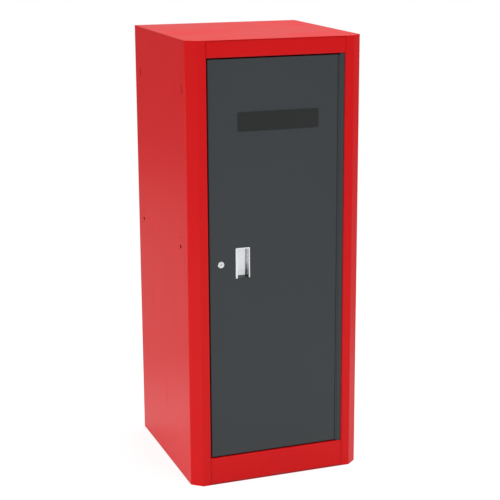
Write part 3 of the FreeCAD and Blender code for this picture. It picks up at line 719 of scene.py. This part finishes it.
# ------------------------------------------------------------ repeated details
class Repeats:
    """Geometry Nodes trees for what repeats in rows."""

    WELD_SIDES: int = 16
    WELD_TOP: float = 0.62      # a mark's flat top, as a share of its foot's radius
    WELD_LEAST: float = 0.88    # sizes of the marks
    WELD_MOST: float = 1.08
    HEAD_SIDES: int = 40
    HEAD_TOP: float = 0.72      # a head's flat top, as a share of its foot's radius
    CROSS_WIDE: float = 0.22    # arms of the recess, as shares of that radius
    CROSS_LONG: float = 1.15
    SLEEVE_SIDES: int = 48

    def __init__(self) -> None:
        """Builds the trees that the locker uses."""
        self.welds = self._weld_row()
        self.heads = self._screw_heads()
        self.sleeves = self._sleeves()

    @staticmethod
    def _tree(name: str, sockets: dict[str, str]) -> tuple[Any, Any, Any]:
        """Starts a tree for a row, which runs from its first place to its last.

        Args:
            name: the tree's name.
            sockets: input name to socket type, of what the row needs besides.

        Returns:
            The tree, its input node and its output node.
        """
        tree = bpy.data.node_groups.new(name, "GeometryNodeTree")
        tree.interface.new_socket("Geometry", in_out="OUTPUT", socket_type="NodeSocketGeometry")
        row = {"First": "NodeSocketVector", "Last": "NodeSocketVector",
               "Count": "NodeSocketInt", "Turn": "NodeSocketVector",
               "Radius": "NodeSocketFloat", "Finish": "NodeSocketMaterial"}
        for label, kind in {**row, **sockets}.items():
            tree.interface.new_socket(label, in_out="INPUT", socket_type=kind)
        return tree, tree.nodes.new("NodeGroupInput"), tree.nodes.new("NodeGroupOutput")

    @staticmethod
    def _wire(tree: Any, kind: str, settings: dict[str, Any], inputs: dict[Any, Any]) -> Any:
        """Adds a node to a tree and joins or sets its inputs.

        Args:
            tree: the tree.
            kind: the node's type name.
            settings: its properties.
            inputs: socket name or index to a socket or a plain value.

        Returns:
            The node.
        """
        node = tree.nodes.new(kind)
        for label, setting in settings.items():
            setattr(node, label, setting)
        for key, term in inputs.items():
            if isinstance(term, bpy.types.NodeSocket):
                tree.links.new(term, node.inputs[key])
            else:
                node.inputs[key].default_value = term
        return node

    def _weld_row(self) -> Any:
        """Row of shallow weld marks between two points.

        Returns:
            The tree.
        """
        tree, given, out = self._tree(
            "weld_row", {"Rise": "NodeSocketFloat", "Seed": "NodeSocketInt"})
        mark = self._wire(tree, "GeometryNodeMeshCone", {"fill_type": "NGON"},
                          {"Vertices": self.WELD_SIDES,
                           "Radius Top": self._share(tree, given, self.WELD_TOP),
                           "Radius Bottom": given.outputs["Radius"],
                           "Depth": given.outputs["Rise"]})
        size = self._wire(tree, "FunctionNodeRandomValue", {"data_type": "FLOAT"},
                          {"Seed": given.outputs["Seed"], 2: self.WELD_LEAST,
                           3: self.WELD_MOST})
        self._along(tree, given, out, mark.outputs["Mesh"], size.outputs[1])
        return tree

    def _screw_heads(self) -> Any:
        """Row of domed screw heads with a cross recess.

        Returns:
            The tree.
        """
        tree, given, out = self._tree("screw_heads", {"Height": "NodeSocketFloat"})
        head = self._wire(tree, "GeometryNodeMeshCone", {"fill_type": "NGON"},
                          {"Vertices": self.HEAD_SIDES,
                           "Radius Top": self._share(tree, given, self.HEAD_TOP),
                           "Radius Bottom": given.outputs["Radius"],
                           "Depth": given.outputs["Height"]})
        cross = self._wire(tree, "GeometryNodeMeshBoolean", {"operation": "DIFFERENCE"},
                           {"Mesh 1": head.outputs["Mesh"]})
        lift = self._wire(tree, "ShaderNodeCombineXYZ", {}, {2: given.outputs["Height"]})
        long = self._share(tree, given, self.CROSS_LONG)
        wide = self._share(tree, given, self.CROSS_WIDE)
        for across, along in ((long, wide), (wide, long)):
            box = self._wire(tree, "ShaderNodeCombineXYZ", {},
                             {0: across, 1: along, 2: given.outputs["Height"]})
            arm = self._wire(tree, "GeometryNodeMeshCube", {}, {"Size": box.outputs[0]})
            moved = self._wire(tree, "GeometryNodeTransform", {},
                               {"Geometry": arm.outputs[0], "Translation": lift.outputs[0]})
            tree.links.new(moved.outputs[0], cross.inputs["Mesh 2"])
        self._along(tree, given, out, cross.outputs[0])
        return tree

    def _sleeves(self) -> Any:
        """Row of thin round sleeves, whose radius is that of the middle of the wall.

        Returns:
            The tree.
        """
        tree, given, out = self._tree(
            "sleeves", {"Wall": "NodeSocketFloat", "Height": "NodeSocketFloat"})
        ring = self._wire(tree, "GeometryNodeCurvePrimitiveCircle", {},
                          {"Resolution": self.SLEEVE_SIDES, "Radius": given.outputs["Radius"]})
        wall = self._wire(tree, "GeometryNodeCurvePrimitiveQuadrilateral", {},
                          {"Width": given.outputs["Wall"], "Height": given.outputs["Height"]})
        swept = self._wire(tree, "GeometryNodeCurveToMesh", {},
                           {"Curve": ring.outputs[0], "Profile Curve": wall.outputs[0]})
        flat = self._wire(tree, "GeometryNodeSetShadeSmooth", {},
                          {"Geometry": swept.outputs[0], "Shade Smooth": False})
        self._along(tree, given, out, flat.outputs[0])
        return tree

    def _share(self, tree: Any, given: Any, share: float) -> Any:
        """Socket with a share of the radius that a tree is given."""
        return self._wire(tree, "ShaderNodeMath", {"operation": "MULTIPLY"},
                          {0: given.outputs["Radius"], 1: share}).outputs[0]

    def _along(self, tree: Any, given: Any, out: Any, shape: Any, size: Any = None) -> None:
        """Ends a tree in a row of one shape, as plain geometry with its finish.

        Args:
            tree: the tree.
            given: the tree's input node.
            out: the tree's output node.
            shape: socket with the shape.
            size: socket with the scale of each, where it varies.
        """
        row = self._wire(tree, "GeometryNodeMeshLine", {"mode": "END_POINTS"},
                         {"Count": given.outputs["Count"],
                          "Start Location": given.outputs["First"],
                          "Offset": given.outputs["Last"]})
        turn = self._wire(tree, "FunctionNodeEulerToRotation", {}, {0: given.outputs["Turn"]})
        inputs = {"Points": row.outputs[0], "Instance": shape, "Rotation": turn.outputs[0]}
        if size is not None:
            inputs["Scale"] = size
        put = self._wire(tree, "GeometryNodeInstanceOnPoints", {}, inputs)
        real = self._wire(tree, "GeometryNodeRealizeInstances", {}, {0: put.outputs[0]})
        done = self._wire(tree, "GeometryNodeSetMaterial", {},
                          {"Geometry": real.outputs[0], "Material": given.outputs["Finish"]})
        tree.links.new(done.outputs[0], out.inputs[0])

    @staticmethod
    def grow(tree: Any, rows: Iterable[dict[str, Any]]) -> bpy.types.Mesh:
        """Runs a tree once for each row and joins what it makes.

        Args:
            tree: the tree.
            rows: input name to value, for each row.

        Returns:
            One plain mesh, in place.
        """
        keys = {item.name: item.identifier for item in tree.interface.items_tree
                if item.in_out == "INPUT"}
        joined = bmesh.new()
        for row in rows:
            host = placed("host", bpy.data.meshes.new("host"))
            grower = host.modifiers.new("grow", "NODES")
            grower.node_group = tree
            for label, value in row.items():
                grower[keys[label]] = value
            made = applied(host)
            joined.from_mesh(made)
            bpy.data.meshes.remove(made)
        return as_mesh(joined, tree.name)


# ----------------------------------------------------------------- the locker
@dataclass
class SubAssembly:
    """Group of pieces that is made and finished together."""

    frame: dict[str, Any]
    repeats: Repeats

    def build(self) -> None:
        """Makes the pieces that are its own and finishes them all."""
        raise NotImplementedError


@dataclass
class Cabinet(SubAssembly):
    """Folded shell: sides with posts, back, roof, rails and floor."""

    roof_edge: float = 0.5 * MM
    loose_fold: float = 4.2 * MM        # outside radius of the top rail's fold, as packed
    tight_fold: float = 1.5 * MM        # and as it is pressed here
    knockout_radius: float = 9.5 * MM
    knockout_rise: float = 0.7 * MM     # how far a blank stands out of the side
    knockout_front: float = 53.0 * MM   # from the roof's front edge
    knockout_rear: float = 39.0 * MM    # from its rear edge
    knockout_drop: float = 114.0 * MM   # from its top
    # wall of the dark sleeve that paints shade along each knock-out's edge
    knockout_sleeve: float = 0.1 * MM
    weld_radius: float = 2.4 * MM
    weld_rise: float = 0.16 * MM
    weld_first: float = 110.0 * MM      # from the back sheet's foot
    weld_last: float = 50.0 * MM        # from its top
    weld_seed: int = 3
    painted: tuple[str, ...] = ("side_panel_left", "side_panel_right", "back_panel",
                                "bottom_rail", "floor_pan", "floor_stiffener")

    def build(self) -> None:
        """Paints the shell and makes its roof, top rail, weld marks and knock-outs' painted
        shade.
        """
        dress(self.frame, RED, self.painted)
        eased(self.frame, "top_panel", RED, "cabinet", self.roof_edge)
        self.top_rail()
        mesh = self.repeats.grow(self.repeats.welds, self.weld_rows())
        finished("shell_weld_marks", mesh, RED, "cabinet")
        mesh = self.repeats.grow(self.repeats.sleeves, self.knockout_rows())
        finished("knockout_edges_painted_shade", mesh, SHEARED_COAT_AND_SHADE, "cabinet")

    def knockout_rows(self) -> list[dict[str, Any]]:
        """Thin dark sleeves round the two knock-outs' sheared edges in each side: coat and
        painted shade.

        Returns:
            The inputs of each row.
        """
        low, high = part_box("top_panel")
        x = high.x + self.knockout_rise / 2.0
        z = high.z - self.knockout_drop
        return [{"First": (side * x, low.y + self.knockout_front, z),
                 "Last": (side * x, high.y - self.knockout_rear, z), "Count": 2,
                 "Radius": self.knockout_radius + self.knockout_sleeve / 2.0,
                 "Wall": self.knockout_sleeve, "Height": self.knockout_rise,
                 "Turn": turn, "Finish": SHEARED_COAT_AND_SHADE.material()}
                for side, turn in ((-1.0, FACING_LEFT), (1.0, FACING_RIGHT))]

    def top_rail(self) -> None:
        """Presses the rail's upper fold tight, so that no groove is left under the roof."""
        low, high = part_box("top_rail")
        middle = Vector((0.0, low.y + self.loose_fold, high.z - self.loose_fold))
        shift = self.loose_fold - self.tight_fold
        mesh = self.frame["nodes"]["top_rail"].data.copy()
        for point in mesh.vertices:
            off = Vector((0.0, point.co.y - middle.y, point.co.z - middle.z))
            if off.length > shift and off.y < SLACK and off.z > -SLACK:
                off *= 1.0 - shift / off.length
                point.co.y = middle.y - shift + off.y
                point.co.z = middle.z + shift + off.z
        piece = finished("top_rail_folded", mesh, RED, "cabinet")
        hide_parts("top_rail")

    def weld_rows(self) -> list[dict[str, Any]]:
        """Rows down the inside of the back, over the flanges.

        Returns:
            The inputs of each row.
        """
        low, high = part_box("back_panel")
        y = high.y - SHEET - self.weld_rise / 2.0
        rows = []
        for side in (-1, 1):
            first = (side * WELD_COLUMN, y, low.z + self.weld_first)
            last = (side * WELD_COLUMN, y, high.z - self.weld_last)
            count = int((last[2] - first[2]) / WELD_PITCH) + 1
            rows.append({"First": first, "Last": last, "Count": count,
                         "Radius": self.weld_radius, "Rise": self.weld_rise,
                         "Turn": FACING_FRONT, "Seed": self.weld_seed + side,
                         "Finish": RED.material()})
        return rows


@dataclass
class Shelving(SubAssembly):
    """Slotted standards, clips and two loose shelves."""

    standards: tuple[str, ...] = ("shelf_standard_front_left", "shelf_standard_front_right",
                                  "shelf_standard_rear_left", "shelf_standard_rear_right")

    def build(self) -> None:
        """Finishes the standards, clips and shelves."""
        dress(self.frame, ZINC, self.standards)
        dress(self.frame, ZINC, ("shelf_clips_lower", "shelf_clips_upper"))
        dress(self.frame, RED, ("shelf_lower", "shelf_upper"))


@dataclass
class Door(SubAssembly):
    """Inset door: pan, stiffener, badge and the bumpers it closes on."""

    weld_radius: float = 2.2 * MM
    weld_rise: float = 0.14 * MM
    weld_inset: float = 6.5 * MM        # from the edges of the stiffener's feet
    weld_end: float = 30.0 * MM         # from the stiffener's ends
    weld_count: int = 12
    weld_seed: int = 11
    badge_edge: float = 0.28 * MM
    bumper_edge: float = 0.7 * MM

    def build(self) -> None:
        """Finishes the door's own pieces."""
        dress(self.frame, GREY, ("door_skin", "door_stiffener"))
        eased(self.frame, "badge_plate", BADGE, "door", self.badge_edge)
        eased(self.frame, "door_bumpers", RUBBER, "cabinet", self.bumper_edge)
        mesh = self.repeats.grow(self.repeats.welds, self.weld_rows())
        finished("door_weld_marks", mesh, GREY, "door")

    def weld_rows(self) -> list[dict[str, Any]]:
        """Rows down both feet of the stiffener.

        Returns:
            The inputs of each row.
        """
        low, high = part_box("door_stiffener")
        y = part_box("door_skin")[0].y + 2.0 * SHEET + self.weld_rise / 2.0
        return [{"First": (x, y, low.z + self.weld_end), "Last": (x, y, high.z - self.weld_end),
                 "Count": self.weld_count, "Radius": self.weld_radius, "Rise": self.weld_rise,
                 "Turn": FACING_BACK, "Seed": self.weld_seed, "Finish": GREY.material()}
                for x in (low.x + self.weld_inset, high.x - self.weld_inset)]


@dataclass
class PianoHinge(SubAssembly):
    """Full-height hinge and the fixed stile beside it."""

    def build(self) -> None:
        """Finishes the leaves, pin and stile."""
        dress(self.frame, GREY, ("hinge_stile", "hinge_leaf_frame", "hinge_leaf_door"))
        dress(self.frame, ZINC, ("hinge_pin",))


@dataclass
class FlushPull(SubAssembly):
    """Cast flush pull and the frame that holds it.

    The last five fields say where the shading of its cup begins and where it is full.
    """

    edge: float = 0.35 * MM
    edge_steps: int = 4
    wall: float = 1.2 * MM
    rim: float = 1.2 * MM
    retainer_edge: float = 0.15 * MM
    retainer_steps: int = 2
    back: tuple[float, float] = (4.0 * MM, 3.0 * MM)      # before the back wall
    foot: tuple[float, float] = (13.1 * MM, 13.0 * MM)    # above the casting's foot
    side: tuple[float, float] = (18.0 * MM, 12.0 * MM)    # left of the right wall
    right: tuple[float, float] = (6.0 * MM, 4.0 * MM)     # left of the right wall
    # painted shade on the cup's right wall begins and is full at these heights
    painted_shade_rise: tuple[float, float] = (40.0 * MM, 10.0 * MM)   # above the casting's foot

    def build(self) -> None:
        """Finishes the casting and its retainer."""
        chrome = PlatedMetal("satin_chrome_casting", "satin_chrome", (233, 234, 236),
                             (227, 229, 231), 0.20, Lay.CAST, metal=0.8, pocket=self.pocket())
        eased(self.frame, "recess_pull", chrome, "door", self.edge, self.edge_steps)
        eased(self.frame, "pull_retainer", ZINC, "door", self.retainer_edge,
              self.retainer_steps)

    def pocket(self) -> Pocket:
        """Puts the cup's shading where its walls lie.

        Returns:
            The shading.
        """
        low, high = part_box("recess_pull")
        back = high.y - self.wall
        right = high.x - self.rim - self.wall
        return Pocket(back=tuple(back - inset for inset in self.back),
                      foot=tuple(low.z + rise for rise in self.foot),
                      side=tuple(right - inset for inset in self.side),
                      right=tuple(right - inset for inset in self.right),
                      painted_shade_rise=tuple(low.z + rise for rise in self.painted_shade_rise))


@dataclass
class CamLock(SubAssembly):
    """Cylinder lock: head, plug with keyway, nut, cam and screw."""

    head_edge: float = 0.22 * MM
    plug_edge: float = 0.12 * MM
    plate_edge: float = 0.2 * MM
    fine_steps: int = 2

    def build(self) -> None:
        """Finishes the lock."""
        eased(self.frame, "lock_housing", LOCK_CHROME, "door", self.head_edge)
        eased(self.frame, "lock_plug", LOCK_CHROME, "lock_plug_body", self.plug_edge,
              self.fine_steps)
        eased(self.frame, "lock_nut", ZINC, "door", self.plate_edge, self.fine_steps)
        eased(self.frame, "lock_cam", ZINC, "lock_plug_body", self.plate_edge, self.fine_steps)
        self.cam_screw()

    def cam_screw(self) -> None:
        """Replaces the cam's screw by one with a cross recess."""
        low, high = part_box("cam_screw")
        centre = (low + high) / 2.0
        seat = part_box("lock_cam")[1].y
        tall = high.y - seat
        at = (centre.x, seat + tall / 2.0, centre.z)
        mesh = self.repeats.grow(self.repeats.heads, [{
            "First": at, "Last": at, "Count": 1, "Radius": (high.x - low.x) / 2.0,
            "Height": tall, "Turn": FACING_BACK, "Finish": ZINC.material()}])
        piece = finished("cam_screw_head", mesh, ZINC, "lock_plug_body")
        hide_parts("cam_screw")


@dataclass
class MagnetCatch(SubAssembly):
    """Magnetic catch under the head, and its strike plate."""

    case_edge: float = 0.5 * MM
    strike_edge: float = 0.2 * MM
    strike_steps: int = 2

    def build(self) -> None:
        """Finishes the catch."""
        eased(self.frame, "catch_case", PLASTIC, "cabinet", self.case_edge)
        dress(self.frame, ZINC, ("catch_magnets",))
        eased(self.frame, "strike_plate", ZINC, "door", self.strike_edge, self.strike_steps)
        self.screws()

    def screws(self) -> None:
        """Replaces the two screw heads by ones with a cross recess."""
        low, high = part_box("catch_screws")
        radius = (high.y - low.y) / 2.0
        middle = (low + high) / 2.0
        tall = high.z - low.z
        mesh = self.repeats.grow(self.repeats.heads, [{
            "First": (low.x + radius, middle.y, middle.z),
            "Last": (high.x - radius, middle.y, middle.z), "Count": 2, "Radius": radius,
            "Height": tall, "Turn": FACING_DOWN, "Finish": ZINC.material()}])
        piece = finished("catch_screw_heads", mesh, ZINC, "cabinet")
        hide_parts("catch_screws")


# -------------------------------------------------------------------- the studio
@dataclass
class Studio:
    """Pale floor, white surroundings, soft light and the camera."""

    floor_radius: float = 14.0
    floor_sides: int = 96
    # painted pool of light: the floor's tone, seen by all but the camera, is pale round this
    # centre
    painted_light_centre: tuple[float, float] = (-0.1, -1.6)
    near_fall: tuple[float, float] = (2.45, 1.75)  # from the pale centre
    far_fall: tuple[float, float] = (6.5, 4.0)
    near_tone: float = 0.90  # tones inside and beyond the falls
    middle_tone: float = 0.46
    far_tone: float = 0.20
    surround: float = 0.835  # surroundings on what is matt
    skirting: float = 0.19  # and low down in polished metal
    skyline: tuple[float, float] = (0.05, 0.44)  # rise at which the skirting ends
    shadow_tone: float = 0.24  # floor that shows the shadow
    shadow_glow: float = 0.80
    shadow_fade: tuple[float, float] = (0.9, 1.8)  # from the middle of the floor
    chamfer: tuple[float, float] = (21.7 * MM, 24.8 * MM)
    # painted contact shade: a dark red band that the camera sees on the floor under the locker
    painted_contact_shade: tuple[float, float] = (-2.0 * MM, 1.4 * MM)
    painted_contact_shade_colour: tuple[int, int, int] = (140, 26, 28)
    aim: tuple[float, float, float] = (0.0, 0.0, 0.53)
    camera_place: tuple[float, float, float] = (-1.1281, -3.1662, 1.3715)
    camera_yaw: float = math.radians(20.973)
    camera_pitch: float = math.radians(14.245)
    camera_lens: float = 99.56
    camera_sensor: float = 36.0
    camera_shift: float = -0.056

    def build(self) -> None:
        """Builds the whole studio."""
        self.world()
        self.floor()
        self.lamp("overhead_softbox", place=(0.50, -0.52, 3.0), size=(3.2, 3.2), power=60.0,
                  mirrored=False)
        self.lamp("left_fill", place=(-2.2, 0.15, 0.35), size=(1.6, 0.7), power=14.0)
        self.camera()
        bpy.context.scene.view_settings.view_transform = "Standard"

    def world(self) -> None:
        """Sets the light from all round.

        It is white to the camera, to glass and, above a grey skirting, to polished metal,
        and an even and softer light on what is matt.
        """
        world = bpy.data.worlds.new("studio")
        world.use_nodes = True
        bpy.context.scene.world = world
        graph = Graph(world.node_tree)
        way = graph.add("ShaderNodeTexCoord").outputs["Generated"]
        up = Value(graph, graph.add("ShaderNodeSeparateXYZ", None, {0: way}).outputs[2])
        path = graph.add("ShaderNodeLightPath").outputs
        gloss = Value(graph, path["Is Glossy Ray"])
        seen = Value(graph, path["Is Camera Ray"]) + Value(graph, path["Is Transmission Ray"])
        seen = (seen + gloss * up.ramp(*self.skyline)).least(1.0)
        strength = self.surround + gloss * (self.skirting - self.surround)
        around = graph.add("ShaderNodeBackground", None, {"Color": WHITE, "Strength": strength})
        white = graph.add("ShaderNodeBackground", None, {"Color": WHITE})
        both = graph.mixed(seen, around, white)
        graph.add("ShaderNodeOutputWorld", None, {0: both.outputs[0]})

    def off_outline(self, x: Value, y: Value) -> Value:
        """Distance of a floor point outside the locker's outline.

        Args:
            x: the point's x.
            y: its y.

        Returns:
            The distance, below 0 under the locker.
        """
        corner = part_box("top_panel")[1]
        side, front = self.chamfer
        slope = math.hypot(side, front)
        reach = (corner.x * side + (corner.y - side) * front) / slope
        cut = abs(x) * (side / slope) - y * (front / slope) - reach
        return (abs(x) - corner.x).most(abs(y) - corner.y).most(cut)

    def floor(self) -> None:
        """Lays the round floor.

        It is white to the camera, but for the locker's shadow and a painted dark red contact
        shade under the locker and along its outline. To everything else it is pale round a
        point before the locker and darker further out: a painted pool of light.
        """
        build = bmesh.new()
        bmesh.ops.create_circle(build, cap_ends=True, radius=self.floor_radius,
                                segments=self.floor_sides)
        mesh = as_mesh(build, "studio_floor")
        paint = bpy.data.materials.new("studio_floor")
        paint.use_nodes = True
        graph = Graph(paint.node_tree)
        _, x, y, _ = graph.place()
        out = (x * x + y * y) ** 0.5
        from_painted_light = ((x - self.painted_light_centre[0]) ** 2.0 + (y - self.painted_light_centre[1]) ** 2.0) ** 0.5
        # painted pool of light: tone falls from near_tone to far_tone away from the centre
        tone = (from_painted_light.ramp(*self.far_fall) * (self.middle_tone - self.far_tone)
                + from_painted_light.ramp(*self.near_fall) * (self.near_tone - self.middle_tone)
                + self.far_tone)
        matt = graph.add("ShaderNodeBsdfDiffuse", None, {"Color": graph.grey(tone)})
        grey = (self.shadow_tone, self.shadow_tone, self.shadow_tone, 1.0)
        shaded = graph.add("ShaderNodeBsdfDiffuse", None, {"Color": grey})
        glow = graph.add("ShaderNodeEmission", None, {"Strength": self.shadow_glow})
        near = graph.add("ShaderNodeAddShader", None,
                         {0: shaded.outputs[0], 1: glow.outputs[0]})
        white = graph.add("ShaderNodeEmission", None, {"Strength": 1.0})
        seen = graph.mixed(out.ramp(*self.shadow_fade), near, white)
        # painted contact shade: dark red on the floor under the locker and along its outline
        dark = graph.add("ShaderNodeEmission", None, {"Color": linear(*self.painted_contact_shade_colour)})
        seen = graph.mixed(self.off_outline(x, y).ramp(*self.painted_contact_shade), dark, seen)
        camera = Value(graph, graph.add("ShaderNodeLightPath").outputs["Is Camera Ray"])
        both = graph.mixed(camera, matt, seen)
        graph.add("ShaderNodeOutputMaterial", None, {0: both.outputs[0]})
        mesh.materials.append(paint)
        floor = placed("studio_floor", mesh)

    def lamp(self, name: str, place: Sequence[float], size: Sequence[float],
             power: float, mirrored: bool = True) -> None:
        """Adds a soft rectangular lamp that points at the locker's middle.

        Args:
            name: its name.
            place: where it hangs.
            size: its width and height.
            power: its power in watts.
            mirrored: whether polished metal shows it.
        """
        light = bpy.data.lights.new(name, "AREA")
        light.shape = "RECTANGLE"
        light.size, light.size_y = size
        light.energy = power
        lamp = placed(name, light)
        lamp.location = place
        lamp.visible_glossy = mirrored
        way = Vector(self.aim) - Vector(place)
        lamp.rotation_euler = way.to_track_quat("-Z", "Y").to_euler()

    def camera(self) -> None:
        """Adds the camera."""
        lens = bpy.data.cameras.new("camera")
        lens.lens = self.camera_lens
        lens.sensor_width = self.camera_sensor
        lens.shift_x = self.camera_shift
        camera = placed("camera", lens)
        camera.location = self.camera_place
        camera.rotation_euler = (math.pi / 2.0 - self.camera_pitch, 0.0, -self.camera_yaw)
        bpy.context.scene.camera = camera


def main() -> None:
    """Dresses the whole locker and sets the studio round it."""
    logging.basicConfig(level=logging.INFO, format="%(name)s %(message)s")
    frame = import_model()
    repeats = Repeats()
    for part in (Cabinet, Shelving, Door, PianoHinge, FlushPull, CamLock, MagnetCatch):
        part(frame, repeats).build()
    Studio().build()


if __name__ == "__main__":
    main()
